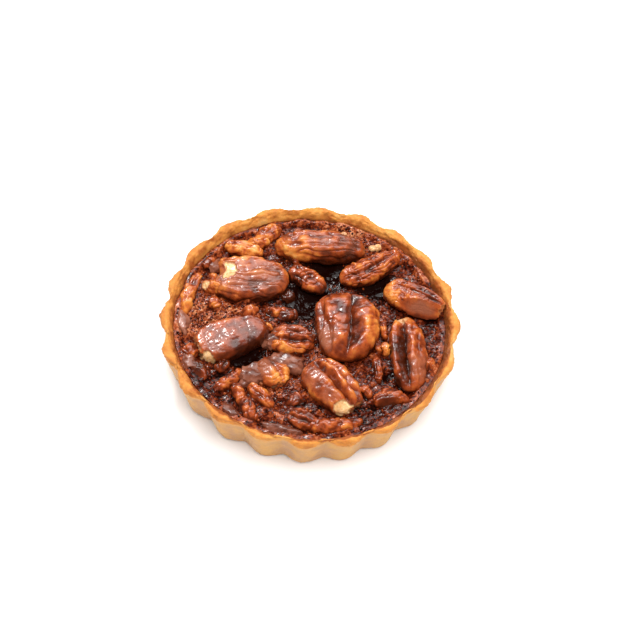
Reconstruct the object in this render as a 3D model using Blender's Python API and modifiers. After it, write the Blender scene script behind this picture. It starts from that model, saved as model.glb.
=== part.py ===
"""A pecan tartlet: a fluted shortcrust shell, its set syrup filling, and the pecans baked into the top.

Lengths in the constants are millimetres and angles are degrees; meshes are built in metres, +Z up.
The origin is the centre of the flat underside. +X is the right of the tartlet and +Y its back.
"""

from typing import NamedTuple

import bmesh
import bpy
import numpy as np

MM = 0.001
GAP = 0.35  # left between pieces that touch

# Crust: a thin shell pressed into a fluted tin
RIM_RADIUS = 47.9  # to the middle of the flute wave
RIM_HEIGHT = 17.0
RIM_INNER_RADIUS = 45.2
FRONT_THINNING = 0.6  # how much further out the inside lies at the front, where the shell is thinnest
BASE_RADIUS = 44.2
FLOOR = 3.2
FLOOR_RADIUS = 40.0
FLUTES = 20
FLUTE_DEPTH = 1.15  # either side of the middle of the wave
FLUTE_START = 2.3
FLUTE_DRIFT = ((1, 1.6, 169.0), (2, 1.2, 27.0), (3, 1.25, 60.0))  # turns, degrees off even spacing, where
STEPS_PER_FLUTE = 6
OUTER_SHOULDER = 1.5  # from the top of the lip down to its widest level
OUTER_NECK = 2.8  # from the top of the lip down to where the wall starts
INNER_SHOULDER = 0.8
INNER_NECK = 2.6
FOOT_ROUNDING = 0.9
RIM_RISE = 0.3  # how far the lip's top wanders up and down

# Filling
FILLING_LEVEL = 13.0
FILLING_RINGS = 6
FILLING_STEPS = 48
# Sunken places between the nuts: centre, radius and depth
HOLLOWS = (
    ((-2.0, 10.5), 8.0, 2.4),
    ((4.5, 25.0), 7.0, 1.6),
    ((21.5, 18.0), 6.0, 1.8),
    ((-19.0, -14.0), 6.5, 1.6),
    ((30.0, -17.0), 4.0, 1.0),
)

# Pecans
DOME_SHARE = 0.62  # of the thickness, above the widest level
SECTION_SQUARENESS = 0.65  # 1 makes the section an oval, less squares its shoulders
TIP_BLUNTNESS = 2.4
FURROW_WIDTH = 18.0  # degrees of section
BITE_WIDTH = 3.0
# Section angles, from one edge of a pecan half over its dome to the other
TWO_FURROWS = ((67.5, 0.45), (112.5, 0.45))


class Pecan(NamedTuple):
    """One half or piece: where it lies, how big it is and how it is shaped."""

    name: str
    at: tuple
    top: float
    size: tuple  # length, width, thickness
    heading: float
    pitch: float = 0.0
    roll: float = 0.0
    furrows: tuple = TWO_FURROWS  # section angle and depth of each lengthwise furrow
    taper: float = 0.08
    bend: float = 0.0  # how far the ends swing to the piece's left
    snapped: tuple = (-1.0, 1.0)  # where a broken end stops, as a share of the half length
    notch: float = 0.0  # how deep a bite the rear end has
    rings: tuple = (16, 7)


CHIP = (10, 5)
PECANS = (
    Pecan("pecan_back", (1.3, 31.6), 20.4, (31.0, 12.0, 9.0), 2, roll=-8),
    Pecan("pecan_left", (-21.8, 15.7), 18.4, (28.0, 17.6, 7.0), 4, notch=3.4),
    Pecan("pecan_front_left", (-24.0, -8.6), 18.6, (23.0, 11.6, 7.5), 28, snapped=(-0.86, 1.0)),
    Pecan("pecan_centre", (12.2, -1.3), 21.0, (26.6, 21.0, 9.5), -86,
          furrows=((67.5, 0.5), (135.0, 0.4)), bend=-1.0, taper=0.1),
    Pecan("pecan_front", (9.2, -25.0), 19.2, (23.0, 14.6, 8.0), -48,
          furrows=((90.0, 0.45), (45.0, 0.35)), snapped=(-1.0, 0.86)),
    Pecan("pecan_front_end", (0.2, -37.3), 17.0, (9.8, 7.6, 6.0), -22, rings=CHIP),
    Pecan("pecan_front_rim", (12.4, -38.2), 16.2, (14.5, 5.4, 5.0), 18, bend=0.8, taper=0.1, rings=CHIP),
    Pecan("pecan_right_back", (33.5, 12.2), 20.0, (20.6, 11.6, 7.2), -25, pitch=-3),
    Pecan("pecan_far_right", (19.4, 24.5), 18.2, (24.5, 8.8, 7.0), 36, taper=0.16, bend=0.8),
    Pecan("pecan_centre_back", (-2.1, 18.3), 16.6, (15.0, 7.4, 5.6), -36),
    Pecan("pecan_right", (32.4, -9.1), 18.4, (29.0, 12.0, 7.4), -83, furrows=((112.5, 0.7),), taper=0.02),
    Pecan("pecan_centre_left", (-5.2, -7.3), 17.2, (13.8, 11.4, 6.6), -2),
    Pecan("pecan_bit_left", (-19.8, 2.4), 16.4, (6.2, 5.2, 5.0), 60, rings=CHIP),
    Pecan("pecan_bit_middle", (-8.0, 3.4), 14.8, (7.8, 5.6, 4.4), 8, rings=CHIP),
    Pecan("pecan_knob_left", (-37.4, -14.9), 16.2, (6.0, 5.6, 5.2), 40, rings=CHIP),
    Pecan("pecan_flake_left", (-33.9, -22.2), 15.2, (8.2, 5.4, 3.4), -56, rings=CHIP),
    Pecan("pecan_strip_left", (-23.6, -24.3), 16.0, (14.0, 4.2, 4.8), 46, rings=CHIP),
    Pecan("pecan_chunk_front", (-10.2, -20.7), 17.2, (12.6, 10.2, 6.2), -58, snapped=(-1.0, 0.8)),
    Pecan("pecan_slip_front", (-13.4, -29.6), 16.2, (11.6, 4.8, 4.8), -42, rings=CHIP),
    Pecan("pecan_strip_front", (-17.3, -34.7), 16.0, (10.6, 5.4, 4.8), -60, rings=CHIP),
    Pecan("pecan_bit_front", (-2.7, -29.8), 15.0, (6.2, 5.6, 4.2), 20, rings=CHIP),
    Pecan("pecan_strip_rim", (-40.4, 8.5), 16.6, (18.0, 4.8, 5.2), 79, bend=-1.0, rings=CHIP),
    Pecan("pecan_bit_rim", (-35.5, 21.7), 15.6, (5.4, 3.6, 4.0), 52, rings=CHIP),
    Pecan("pecan_back_left", (-16.6, 36.2), 17.0, (10.4, 6.6, 5.6), 46, rings=CHIP),
    Pecan("pecan_slip_back", (-24.3, 28.7), 17.0, (13.6, 6.8, 5.4), -12, rings=CHIP),
    Pecan("pecan_shard_right", (22.9, -15.9), 15.8, (10.0, 3.8, 4.4), -82, rings=CHIP),
    Pecan("pecan_arch_right", (27.5, -25.5), 16.4, (12.4, 4.2, 4.6), 2, bend=-2.0, rings=CHIP),
)


def clear_scene():
    for old in list(bpy.data.objects):
        bpy.data.objects.remove(old, do_unlink=True)


def new_collection(name):
    collection = bpy.data.collections.new(name)
    bpy.context.scene.collection.children.link(collection)
    return collection


def food_material(name, colour, roughness, coat=0.0):
    material = bpy.data.materials.new(name)
    material.use_nodes = True
    shader = material.node_tree.nodes["Principled BSDF"]
    shader.inputs["Base Color"].default_value = (*colour, 1.0)
    shader.inputs["Roughness"].default_value = roughness
    shader.inputs["Metallic"].default_value = 0.0
    shader.inputs["Coat Weight"].default_value = coat
    return material


def points_of(mesh):
    """The mesh's vertices in millimetres, one row each."""
    flat = np.empty(len(mesh.vertices) * 3)
    mesh.vertices.foreach_get("co", flat)
    return flat.reshape(-1, 3) / MM


def put_points(mesh, points):
    mesh.vertices.foreach_set("co", (points * MM).ravel())
    mesh.update()


def turned_object(name, profile, steps, collection):
    """A solid of revolution: the (radius, height) profile runs from the axis, down the outside, to it."""
    outline = bpy.data.meshes.new(name + "_profile")
    corners = [(radius * MM, 0.0, height * MM) for radius, height in profile]
    outline.from_pydata(corners, [(i, i + 1) for i in range(len(corners) - 1)], [])
    turned = bpy.data.objects.new(name, outline)
    collection.objects.link(turned)
    screw = turned.modifiers.new("Screw", "SCREW")
    screw.axis = "Z"
    screw.steps = screw.render_steps = steps
    screw.use_merge_vertices = True
    screw.merge_threshold = 0.00001
    graph = bpy.context.evaluated_depsgraph_get()
    solid = bpy.data.meshes.new_from_object(turned.evaluated_get(graph))
    turned.modifiers.clear()
    turned.data = solid
    bpy.data.meshes.remove(outline)
    return turned


def smooth_step(low, high, value):
    share = np.clip((value - low) / (high - low), 0.0, 1.0)
    return share * share * (3.0 - 2.0 * share)


def flute_wave(angle):
    """-1 in a valley and 1 on a crest; valleys are narrower, and the spacing drifts a little."""
    drift = sum(off * np.cos(turns * angle - np.radians(where)) for turns, off, where in FLUTE_DRIFT)
    phase = FLUTES * (angle - np.radians(FLUTE_START + drift))
    return 0.55 * np.cos(phase) + 0.45 * (2.0 * np.abs(np.cos(phase / 2.0)) - 1.0)


def front_shift(angle, height):
    """How far the inside of the shell lies outside its circle, growing to the front and up the wall."""
    front = (0.5 - 0.5 * np.sin(angle)) ** 2
    return FRONT_THINNING * front * smooth_step(FLOOR, RIM_HEIGHT - 3.0, height)


def build_crust(collection):
    """The shell's profile is turned, and its outer side then follows the flutes."""
    lip = RIM_RADIUS - RIM_INNER_RADIUS
    profile = (
        (0.0, FLOOR),
        (FLOOR_RADIUS, FLOOR),
        (FLOOR_RADIUS + 1.6, FLOOR + 1.5),
        (RIM_INNER_RADIUS - 0.9, RIM_HEIGHT - INNER_NECK),
        (RIM_INNER_RADIUS, RIM_HEIGHT - INNER_SHOULDER),
        (RIM_INNER_RADIUS + 0.4 * lip, RIM_HEIGHT),
        (RIM_INNER_RADIUS + 0.8 * lip, RIM_HEIGHT - 0.3),
        (RIM_RADIUS, RIM_HEIGHT - OUTER_SHOULDER),
        (RIM_RADIUS - 0.8, RIM_HEIGHT - OUTER_NECK),
        (BASE_RADIUS, FOOT_ROUNDING),
        (BASE_RADIUS - FOOT_ROUNDING, 0.0),
        (0.0, 0.0),
    )
    crust = turned_object("crust", profile, FLUTES * STEPS_PER_FLUTE, collection)
    points = points_of(crust.data)
    radius = np.hypot(points[:, 0], points[:, 1])
    angle = np.arctan2(points[:, 1], points[:, 0])
    height = points[:, 2]
    inner = np.interp(height, (0.0, FLOOR, RIM_HEIGHT - INNER_SHOULDER, RIM_HEIGHT),
                      (FLOOR_RADIUS, FLOOR_RADIUS, RIM_INNER_RADIUS, RIM_INNER_RADIUS + 0.2 * lip))
    outer = np.interp(height, (0.0, RIM_HEIGHT - OUTER_NECK), (BASE_RADIUS - FOOT_ROUNDING, RIM_RADIUS - 0.8))
    share = smooth_step(inner + 0.3, outer, radius)
    uneven = 0.25 * np.sin(2.0 * angle + 0.6) + 0.18 * np.sin(5.0 * angle + 2.0)
    shifted = radius + share * (FLUTE_DEPTH * flute_wave(angle) + uneven)
    shifted += (1.0 - share) * smooth_step(0.0, RIM_INNER_RADIUS, radius) * front_shift(angle, height)
    rise = smooth_step(RIM_HEIGHT - 3.0, RIM_HEIGHT - 1.0, height) * RIM_RISE * np.sin(3.0 * angle + 1.0)
    points = np.stack((shifted * np.cos(angle), shifted * np.sin(angle), height + rise), axis=1)
    put_points(crust.data, points)
    crust.data.materials.append(food_material("baked_crust", (0.72, 0.38, 0.13), 0.75))
    crust.data.shade_smooth()
    return crust


def build_filling(collection):
    """Set syrup from the crust's floor to a few millimetres under its rim, uneven on top."""
    edge = RIM_INNER_RADIUS - 1.4 - GAP
    floor = FLOOR + GAP
    profile = [(edge * ring / FILLING_RINGS, FILLING_LEVEL) for ring in range(FILLING_RINGS)]
    profile += [
        (edge, FILLING_LEVEL + 0.3),
        (FLOOR_RADIUS + 1.2, FLOOR + 2.0),
        (FLOOR_RADIUS - 0.4, floor),
        (0.0, floor),
    ]
    filling = turned_object("filling", profile, FILLING_STEPS, collection)
    points = points_of(filling.data)
    angle = np.arctan2(points[:, 1], points[:, 0])
    stretch = 1.0 + front_shift(angle, points[:, 2]) / edge
    points[:, :2] *= stretch[:, None]
    x, y, height = points.T
    on_top = height > FILLING_LEVEL - 0.1
    inside = 1.0 - smooth_step(0.9 * edge, edge, np.hypot(x, y))
    relief = 0.3 * np.sin(0.42 * x + 0.8) * np.cos(0.37 * y - 0.3) + 0.2 * np.sin(0.9 * x - 0.7 * y)
    for (across, back), reach, depth in HOLLOWS:
        distance = np.hypot(x - across, y - back) / reach
        relief = relief - depth * np.exp(-distance * distance)
    points[:, 2] = height + on_top * inside * relief
    put_points(filling.data, points)
    filling.data.materials.append(food_material("set_syrup", (0.07, 0.018, 0.007), 0.3, coat=0.4))
    filling.data.shade_smooth()
    return filling


def pecan_mesh(pecan, grow):
    """A unit sphere pulled into a pecan half, with its poles at the tips and its dome up.

    Along it the outline is a blunt oval. Across it the dome is fuller than the underside, and each
    furrow draws the surface in over a narrow band of section angles, fading out at the tips.
    """
    shape = bmesh.new()
    bmesh.ops.create_uvsphere(shape, u_segments=pecan.rings[0], v_segments=pecan.rings[1], radius=1.0)
    mesh = bpy.data.meshes.new(pecan.name)
    shape.to_mesh(mesh)
    shape.free()
    across, up, along = (points_of(mesh) * MM).T
    length, width, thickness = (side + 2.0 * grow for side in pecan.size)
    section = np.degrees(np.arctan2(up, across))
    round_off = np.hypot(across, up)
    outline = (1.0 - np.abs(along) ** TIP_BLUNTNESS).clip(0.0) ** (1.0 / TIP_BLUNTNESS)
    full = outline / np.maximum(round_off, 1e-6)
    drawn_in = np.ones_like(along)
    for angle, depth in pecan.furrows:
        drawn_in -= depth * np.exp(-(((section - angle) / FURROW_WIDTH) ** 2)) * (1.0 - along**4)
    widest = 1.0 - pecan.taper * along
    height = np.sign(up) * np.abs(up / np.maximum(round_off, 1e-6)) ** SECTION_SQUARENESS
    x = 0.5 * length * along
    y = 0.5 * width * widest * full * across * drawn_in
    z = thickness * outline * height * drawn_in * np.where(up > 0.0, DOME_SHARE, 1.0 - DOME_SHARE)
    rear, front = (0.5 * length * share for share in pecan.snapped)
    x = np.clip(x, rear, front)
    bite = np.exp(-(((y - 0.1 * width) / BITE_WIDTH) ** 2)) * smooth_step(0.45, 0.9, -along)
    x = x + max(pecan.notch - 2.0 * grow, 0.0) * bite
    y = y + pecan.bend * along * along
    put_points(mesh, np.stack((x, y, z), axis=1))
    mesh.shade_smooth()
    return mesh


def place_pecan(pecan, mesh, collection):
    piece = bpy.data.objects.new(mesh.name, mesh)
    collection.objects.link(piece)
    piece.location = (pecan.at[0] * MM, pecan.at[1] * MM, (pecan.top - DOME_SHARE * pecan.size[2]) * MM)
    piece.rotation_euler = np.radians((pecan.roll, pecan.pitch, pecan.heading))
    return piece


def build_pecans(collection, cutters, filling):
    """Each pecan, and the bed that it leaves in the filling."""
    material = food_material("glazed_pecan", (0.33, 0.085, 0.025), 0.35, coat=0.5)
    for pecan in PECANS:
        mesh = pecan_mesh(pecan, 0.0)
        mesh.materials.append(material)
        place_pecan(pecan, mesh, collection)
        bed = pecan_mesh(pecan, GAP)
        bed.name = pecan.name + "_bed"
        cutter = place_pecan(pecan, bed, cutters)
        cutter.hide_render = True
        cutter.display_type = "WIRE"
        cut = filling.modifiers.new(bed.name, "BOOLEAN")
        cut.operation = "DIFFERENCE"
        cut.solver = "EXACT"
        cut.object = cutter


def main():
    clear_scene()
    tartlet = new_collection("pecan_tartlet")
    cutters = new_collection("cutters")
    build_crust(tartlet)
    filling = build_filling(tartlet)
    build_pecans(tartlet, cutters, filling)


main()
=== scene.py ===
from math import radians, sin, cos

import bpy
import numpy as np
from mathutils import Matrix, Vector


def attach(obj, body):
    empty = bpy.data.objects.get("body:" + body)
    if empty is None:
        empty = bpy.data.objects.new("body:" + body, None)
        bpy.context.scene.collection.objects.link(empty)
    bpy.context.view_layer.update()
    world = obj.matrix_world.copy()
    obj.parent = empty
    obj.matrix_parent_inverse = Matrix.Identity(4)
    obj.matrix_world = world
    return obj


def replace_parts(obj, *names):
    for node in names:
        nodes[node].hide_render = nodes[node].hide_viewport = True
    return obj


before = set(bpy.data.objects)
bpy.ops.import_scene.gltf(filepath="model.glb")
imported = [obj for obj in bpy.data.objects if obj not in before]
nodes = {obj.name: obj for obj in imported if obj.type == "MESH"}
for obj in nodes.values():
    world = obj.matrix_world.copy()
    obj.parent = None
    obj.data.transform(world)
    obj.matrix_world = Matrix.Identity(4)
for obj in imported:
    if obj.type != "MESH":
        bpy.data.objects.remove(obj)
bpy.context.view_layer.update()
mm = 0.001

# these values were fitted together: tilt is the angle looked down at, away the distance in metres, lens the
# focal length in millimetres
camera = dict(tilt=54.7, roll=4.8, away=0.45, lens=75.58, shiftX=0.0189, shiftY=0.0428)


def placeCamera(look):
    # stands back from the origin along its line of sight and is rolled about it; the shifts centre the
    # picture
    tilt = radians(look["tilt"])
    ahead = Vector((0, cos(tilt), -sin(tilt)))
    up = Vector((0, sin(tilt), cos(tilt)))
    right = Vector((1, 0, 0))
    turn = Matrix((right, up, -ahead)).transposed().to_4x4()
    lens = bpy.data.cameras.new("camera")
    lens.sensor_width = 36
    lens.lens = look["lens"]
    lens.shift_x, lens.shift_y = look["shiftX"], look["shiftY"]
    lens.clip_start = 0.01
    shown = bpy.data.objects.new("camera", lens)
    shown.matrix_world = (Matrix.Translation(-ahead * look["away"]) @ turn
                          @ Matrix.Rotation(radians(look["roll"]), 4, "Z"))
    bpy.context.scene.collection.objects.link(shown)
    bpy.context.scene.camera = shown


placeCamera(camera)
print("camera placed")


def smoothStep(low, high, value):
    # 0 below low, 1 above high, an S curve between
    share = np.clip((value - low) / (high - low), 0, 1)
    return share * share * (3 - 2 * share)


def mix(first, second, share):
    return first + (second - first) * share


def latticeDraw(cells, seed):
    # one fixed draw from 0 to 1 for each whole-number cell
    hashed = (cells[..., 0] * 73856093) ^ (cells[..., 1] * 19349663) ^ (cells[..., 2] * 83492791)
    hashed = (hashed ^ (seed * 2654435)) & 0x7FFFFFFF
    hashed = ((hashed ^ (hashed >> 13)) * 1274126177) & 0x7FFFFFFF
    hashed = ((hashed ^ (hashed >> 11)) * 668265263) & 0x7FFFFFFF
    return ((hashed >> 7) & 0xFFFF) / 65535.0


def noise(points, seed=0):
    # gradient noise, about -1 to 1: each corner of a unit cell slopes its own way, and the slopes are blended
    cell = np.floor(points).astype(np.int64)
    inside = points - cell
    ease = inside ** 3 * (inside * (inside * 6 - 15) + 10)
    total = np.zeros(points.shape[:-1])
    for corner in np.ndindex(2, 2, 2):
        at = cell + corner
        turn = 2 * np.pi * latticeDraw(at, seed)
        rise = 2 * latticeDraw(at, seed + 101) - 1
        flat = np.sqrt(1 - rise * rise)
        away = inside - corner
        slope = flat * (np.cos(turn) * away[..., 0] + np.sin(turn) * away[..., 1]) + rise * away[..., 2]
        weight = np.prod(np.where(corner, ease, 1 - ease), axis=-1)
        total += weight * slope
    return total * 1.6


def layeredNoise(points, seed=0, layers=3):
    # noise at doubling fineness and halving strength
    return sum(noise(points * 2 ** layer, seed + 17 * layer) / 2 ** layer for layer in range(layers))


def creased(points, seed=0):
    # rounded swells with a sharp crease wherever the noise crosses zero
    field = noise(points, seed)
    return 0.9 * field + 0.35 - 1.1 * np.exp(-(field / 0.13) ** 2)


def pebbles(points, seed=0):
    # distance to the nearest scattered centre, with one centre in each unit cell, and that centre's own draw
    cell = np.floor(points).astype(np.int64)
    nearest = np.full(points.shape[:-1], 9.0)
    own = np.zeros_like(nearest)
    for step in np.ndindex(3, 3, 3):
        at = cell + np.array(step) - 1
        centre = at + np.stack([latticeDraw(at, seed + k) for k in (1, 2, 3)], axis=-1)
        distance = np.linalg.norm(points - centre, axis=-1)
        closer = distance < nearest
        nearest = np.where(closer, distance, nearest)
        own = np.where(closer, latticeDraw(at, seed + 4), own)
    return nearest, own


def inPlane(first, second):
    # points with these two coordinates and 0 for the third
    return np.stack((first, second, 0 * first), axis=-1)


def mound(x, y, across, back, reach):
    # 1 at the given place, fading round it as a bell curve
    return np.exp(-((x - across) ** 2 + (y - back) ** 2) / reach ** 2)


def outward(grid):
    # unit normals of a closed grid: the step round it crossed with the step along it
    around = np.roll(grid, -1, axis=1) - np.roll(grid, 1, axis=1)
    along = np.gradient(grid, axis=0)
    normal = np.cross(around, along)
    normal[0] = normal[1].mean(axis=0)
    normal[-1] = normal[-2].mean(axis=0)
    return normal / np.maximum(np.linalg.norm(normal, axis=-1, keepdims=True), 1e-12)


def closedFaces(rows, columns):
    # the quads between rings and the triangles round each pole, whose points come last
    rings = (rows - 2) * columns
    here = np.arange(rings).reshape(rows - 2, columns)
    beside = np.roll(here, -1, axis=1)
    quads = np.stack((here[:-1], beside[:-1], beside[1:], here[1:]), axis=-1).reshape(-1, 4)
    start = np.stack((np.full(columns, rings), beside[0], here[0]), axis=-1)
    end = np.stack((here[-1], beside[-1], np.full(columns, rings + 1)), axis=-1)
    return quads, np.concatenate((start, end))


def polesLast(values):
    # a grid's inner rows as one list, then its first pole and its last
    return np.concatenate((values[1:-1].reshape((values.shape[0] - 2) * values.shape[1], -1),
                           values[:1, 0].reshape(1, -1), values[-1:, 0].reshape(1, -1)))


def closedSurface(name, grid, colours, material):
    # grid holds millimetres: rows run from pole to pole and columns go round; each pole row becomes one point
    quads, fans = closedFaces(*grid.shape[:2])
    colours = {key: polesLast(values) for key, values in colours.items()}
    return putInScene(name, polesLast(grid), quads.tolist() + fans.tolist(), colours, material)


def putInScene(name, points, faces, colours, material):
    mesh = bpy.data.meshes.new(name)
    mesh.from_pydata((points * mm).tolist(), [], faces)
    for key, values in colours.items():
        layer = mesh.attributes.new(key, "FLOAT", "POINT")
        layer.data.foreach_set("value", values.ravel().astype(np.float32))
    mesh.materials.append(material)
    mesh.shade_smooth()
    mesh.update()
    made = bpy.data.objects.new(name, mesh)
    bpy.context.scene.collection.objects.link(made)
    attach(made, "root")
    return made


class Nodes:
    # short names for the few kinds of node that the finishes share
    def __init__(self, name):
        self.material = bpy.data.materials.new(name)
        self.material.use_nodes = True
        self.tree = self.material.node_tree
        self.shader = self.tree.nodes["Principled BSDF"]
        self.place = self.tree.nodes.new("ShaderNodeTexCoord").outputs["Object"]

    def link(self, source, target):
        self.tree.links.new(source, target)

    def value(self, name):
        node = self.tree.nodes.new("ShaderNodeAttribute")
        node.attribute_name = name
        return node.outputs["Fac"]

    def noise(self, perMetre, detail=3, roughness=0.5):
        node = self.tree.nodes.new("ShaderNodeTexNoise")
        node.inputs["Scale"].default_value = perMetre
        node.inputs["Detail"].default_value = detail
        node.inputs["Roughness"].default_value = roughness
        self.link(self.place, node.inputs["Vector"])
        return node.outputs["Fac"]

    def ramp(self, source, stops):
        node = self.tree.nodes.new("ShaderNodeValToRGB")
        ramp = node.color_ramp
        while len(ramp.elements) < len(stops):
            ramp.elements.new(0.5)
        for element, (position, colour) in zip(ramp.elements, stops):
            element.position = position
            element.color = (*colour, 1)
        self.link(source, node.inputs["Fac"])
        return node.outputs["Color"]

    def spread(self, source, low, high, toLow=0.0, toHigh=1.0):
        node = self.tree.nodes.new("ShaderNodeMapRange")
        for socket, number in zip(("From Min", "From Max", "To Min", "To Max"), (low, high, toLow, toHigh)):
            node.inputs[socket].default_value = number
        self.link(source, node.inputs["Value"])
        return node.outputs["Result"]

    def maths(self, kind, first, second):
        node = self.tree.nodes.new("ShaderNodeMath")
        node.operation = kind
        for socket, given in zip(node.inputs, (first, second)):
            if isinstance(given, (int, float)):
                socket.default_value = given
            else:
                self.link(given, socket)
        return node.outputs[0]

    def blend(self, share, first, second):
        node = self.tree.nodes.new("ShaderNodeMix")
        node.data_type = "RGBA"
        for socket, given in zip((node.inputs[0], node.inputs[6], node.inputs[7]), (share, first, second)):
            if isinstance(given, tuple):
                socket.default_value = (*given, 1)
            elif isinstance(given, (int, float)):
                socket.default_value = given
            else:
                self.link(given, socket)
        return node.outputs[2]

    def bump(self, source, height, strength=1.0):
        node = self.tree.nodes.new("ShaderNodeBump")
        node.inputs["Distance"].default_value = height
        node.inputs["Strength"].default_value = strength
        self.link(source, node.inputs["Height"])
        self.link(node.outputs["Normal"], self.shader.inputs["Normal"])

    def fixed(self, **sockets):
        for name, number in sockets.items():
            self.shader.inputs[name.replace("_", " ")].default_value = number


def crustFinish():
    # golden shortcrust: paler down the outer wall and, as a painted highlight, along the lip's outer edge,
    # browner on crests, stained by syrup inside
    n = Nodes("bakedCrust")
    grain = n.noise(900, detail=5, roughness=0.65)
    patch = n.noise(120, detail=2)
    tone = n.maths("ADD", n.value("bakeAndHighlight"), n.maths("MULTIPLY", n.maths("SUBTRACT", patch, 0.5), 0.5))
    tone = n.maths("ADD", tone, n.maths("MULTIPLY", n.maths("SUBTRACT", grain, 0.5), 0.35))
    colour = n.ramp(tone, ((0.0, (0.53, 0.285, 0.145)), (0.3, (0.67, 0.355, 0.108)),
                           (0.6, (0.66, 0.265, 0.052)), (1.0, (0.32, 0.075, 0.011))))
    speck = n.spread(n.noise(2600, detail=2), 0.60, 0.72, 0.0, 0.35)
    colour = n.blend(speck, colour, (0.48, 0.19, 0.05))
    stained = n.blend(n.spread(grain, 0.3, 0.7), (0.30, 0.085, 0.02), (0.13, 0.03, 0.01))
    colour = n.blend(n.value("stain"), colour, stained)
    n.link(colour, n.shader.inputs["Base Color"])
    n.link(n.spread(n.value("stain"), 0.0, 1.0, 0.62, 0.28), n.shader.inputs["Roughness"])
    n.fixed(Specular_IOR_Level=0.35, Subsurface_Weight=0.12, Subsurface_Scale=0.004)
    n.shader.inputs["Subsurface Radius"].default_value = (1.0, 0.5, 0.2)
    n.bump(n.maths("ADD", n.maths("MULTIPLY", grain, 0.7), n.noise(3000, detail=2)), 0.00035, 0.7)
    return n.material


def syrupFinish():
    # dark set syrup, bubbled and glossy, with redder thin places
    n = Nodes("setSyrup")
    grain = n.noise(1100, detail=4, roughness=0.65)
    tone = n.maths("ADD", n.value("crumb"), n.maths("MULTIPLY", n.maths("SUBTRACT", grain, 0.5), 1.6))
    colour = n.ramp(tone, ((0.0, (0.007, 0.0011, 0.0005)), (0.32, (0.080, 0.009, 0.0022)),
                           (0.62, (0.31, 0.060, 0.014)), (1.0, (0.64, 0.29, 0.14))))
    n.link(colour, n.shader.inputs["Base Color"])
    n.link(n.spread(tone, 0.0, 1.0, 0.08, 0.40), n.shader.inputs["Roughness"])
    n.fixed(Coat_Weight=0.36, Coat_Roughness=0.04, Specular_IOR_Level=0.15)
    n.bump(n.maths("ADD", grain, n.noise(2600, detail=2)), 0.00022, 0.5)
    return n.material


def pecanFinish():
    # glazed pecan: dark red-brown in the creases as painted shade, warmer on the crests, a dull pinkish brown
    # where a veil of syrup and a painted sheen lie, cream where the kernel is broken
    n = Nodes("glazedPecan")
    grain = n.noise(700, detail=4, roughness=0.6)
    tone = n.maths("ADD", n.value("tone"), n.maths("MULTIPLY", n.maths("SUBTRACT", grain, 0.5), 0.25))
    colour = n.ramp(tone, ((0.0, (0.050, 0.008, 0.002)), (0.25, (0.15, 0.021, 0.004)),
                           (0.5, (0.35, 0.062, 0.011)), (0.75, (0.60, 0.185, 0.030)),
                           (1.0, (0.78, 0.40, 0.11))))
    speck = n.spread(n.noise(2100, detail=2), 0.62, 0.70, 0.0, 0.6)
    colour = n.blend(speck, colour, (0.07, 0.014, 0.005))
    cream = n.blend(n.spread(grain, 0.35, 0.65), (0.80, 0.53, 0.27), (0.62, 0.30, 0.10))
    # the veil colour is a dull syrup film together with a painted pinkish sheen on the tops
    colour = n.blend(n.value("veilAndSheen"), colour, (0.28, 0.086, 0.042))
    colour = n.blend(n.value("pale"), colour, cream)
    n.link(colour, n.shader.inputs["Base Color"])
    n.link(n.spread(n.value("pale"), 0.0, 1.0, 0.3, 0.5), n.shader.inputs["Roughness"])
    n.fixed(Coat_Weight=0.75, Coat_Roughness=0.10, Specular_IOR_Level=0.3,
            Subsurface_Weight=0.06, Subsurface_Scale=0.002)
    n.shader.inputs["Subsurface Radius"].default_value = (1.0, 0.35, 0.12)
    n.bump(n.maths("ADD", grain, n.maths("MULTIPLY", n.noise(2200, detail=3), 0.6)), 0.00025, 0.6)
    return n.material


def filmFinish():
    # brown syrup run smooth over the top, with a broad soft sheen
    n = Nodes("smoothSyrup")
    tone = n.maths("ADD", n.value("crumb"), n.maths("MULTIPLY", n.maths("SUBTRACT", n.noise(500), 0.5), 0.5))
    colour = n.ramp(tone, ((0.0, (0.06, 0.012, 0.005)), (0.5, (0.15, 0.040, 0.019)),
                           (1.0, (0.27, 0.095, 0.055))))
    n.link(colour, n.shader.inputs["Base Color"])
    n.link(n.spread(n.noise(900), 0.3, 0.7, 0.22, 0.36), n.shader.inputs["Roughness"])
    n.fixed(Coat_Weight=0.3, Coat_Roughness=0.14, Specular_IOR_Level=0.4)
    n.bump(n.noise(700, detail=2), 0.0002, 0.4)
    return n.material


smoothSyrup = filmFinish()
bakedCrust = crustFinish()
setSyrup = syrupFinish()
glazedPecan = pecanFinish()
print("finishes made")


# start and drift were fitted to the crests' angles: drift holds turns, degrees off even spacing and where
# that is largest; the necks and shoulders are measured down from the top of the lip, outside and inside,
# and neckInset is how far inside the rim the outer neck stands
crustLook = dict(flutes=20, flute=1.15, start=2.3, drift=((1, 1.6, 169), (2, 1.2, 27), (3, 1.25, 60)),
                 columns=720, rimRadius=47.9, rimHeight=17.0, innerRadius=45.2, baseRadius=44.2,
                 floor=3.2, floorRadius=40.0, thinFront=0.6, syrupLine=14.8, foot=0.9, outerNeck=2.8,
                 neckInset=0.8, outerShoulder=1.5, innerShoulder=0.8, innerNeck=2.6, rise=0.3)


def fluteWave(look, angle):
    # -1 in a valley, 1 on a crest: a cosine blended with a rectified one, its spacing drifting a little
    drift = sum(off * np.cos(turns * angle - radians(where)) for turns, off, where in look["drift"])
    phase = look["flutes"] * (angle - np.radians(look["start"] + drift))
    return 0.55 * np.cos(phase) + 0.45 * (2 * np.abs(np.cos(phase / 2)) - 1)


def frontShift(look, angle, height):
    # how far out the inner wall stands at the front, growing up the wall
    front = (0.5 - 0.5 * np.sin(angle)) ** 2
    return look["thinFront"] * front * smoothStep(look["floor"], look["rimHeight"] - 3, height)


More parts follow.
